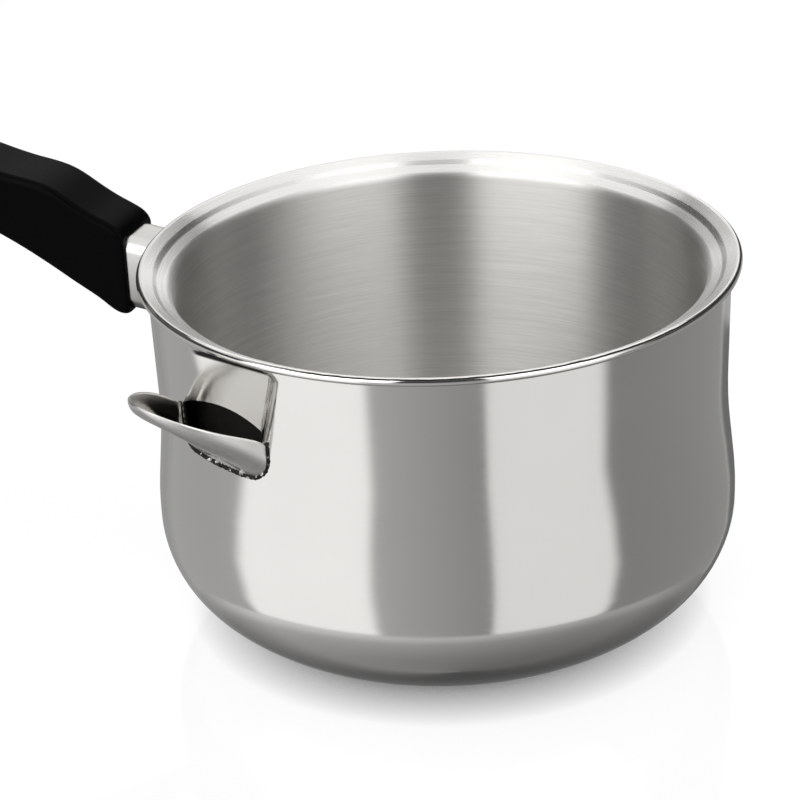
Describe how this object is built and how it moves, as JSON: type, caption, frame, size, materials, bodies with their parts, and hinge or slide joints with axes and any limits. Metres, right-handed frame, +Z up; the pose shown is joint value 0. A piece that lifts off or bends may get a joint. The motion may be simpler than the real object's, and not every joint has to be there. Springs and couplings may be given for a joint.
{
  "type": "double boiler saucepan",
  "caption": "Double walled saucepan whose water jacket is filled through an open scoop on its side, with a rolled pouring rim and a black moulded handle.",
  "frame": {"origin": "centre of the flat base of the outer pot, on the pot axis", "axes": "+Z up along the pot axis, -X along the handle, the filling chute between -X and -Y"},
  "size_m": [0.3392, 0.1912, 0.148],
  "materials": {
    "polished_steel": "polished stainless sheet",
    "satin_steel": "satin turned inside, polished rim",
    "chute_steel": "polished stainless sheet",
    "weld_steel": "dull weld bead",
    "guard_steel": "polished stainless sheet",
    "bracket_steel": "mill finish",
    "fastener_steel": "bright zinc",
    "grip_phenolic": "black moulded phenolic, satin"
  },
  "bodies": {
    "root": {"outer_pot": "polished_steel", "inner_pot": "satin_steel", "filling_chute": "chute_steel", "chute_weld": "weld_steel", "flame_guard": "guard_steel", "handle_bracket": "bracket_steel", "handle_stud": "fastener_steel", "sleeve_nut": "fastener_steel", "spring_washer": "fastener_steel", "handle_grip": "grip_phenolic"}
  },
  "joints": []
}
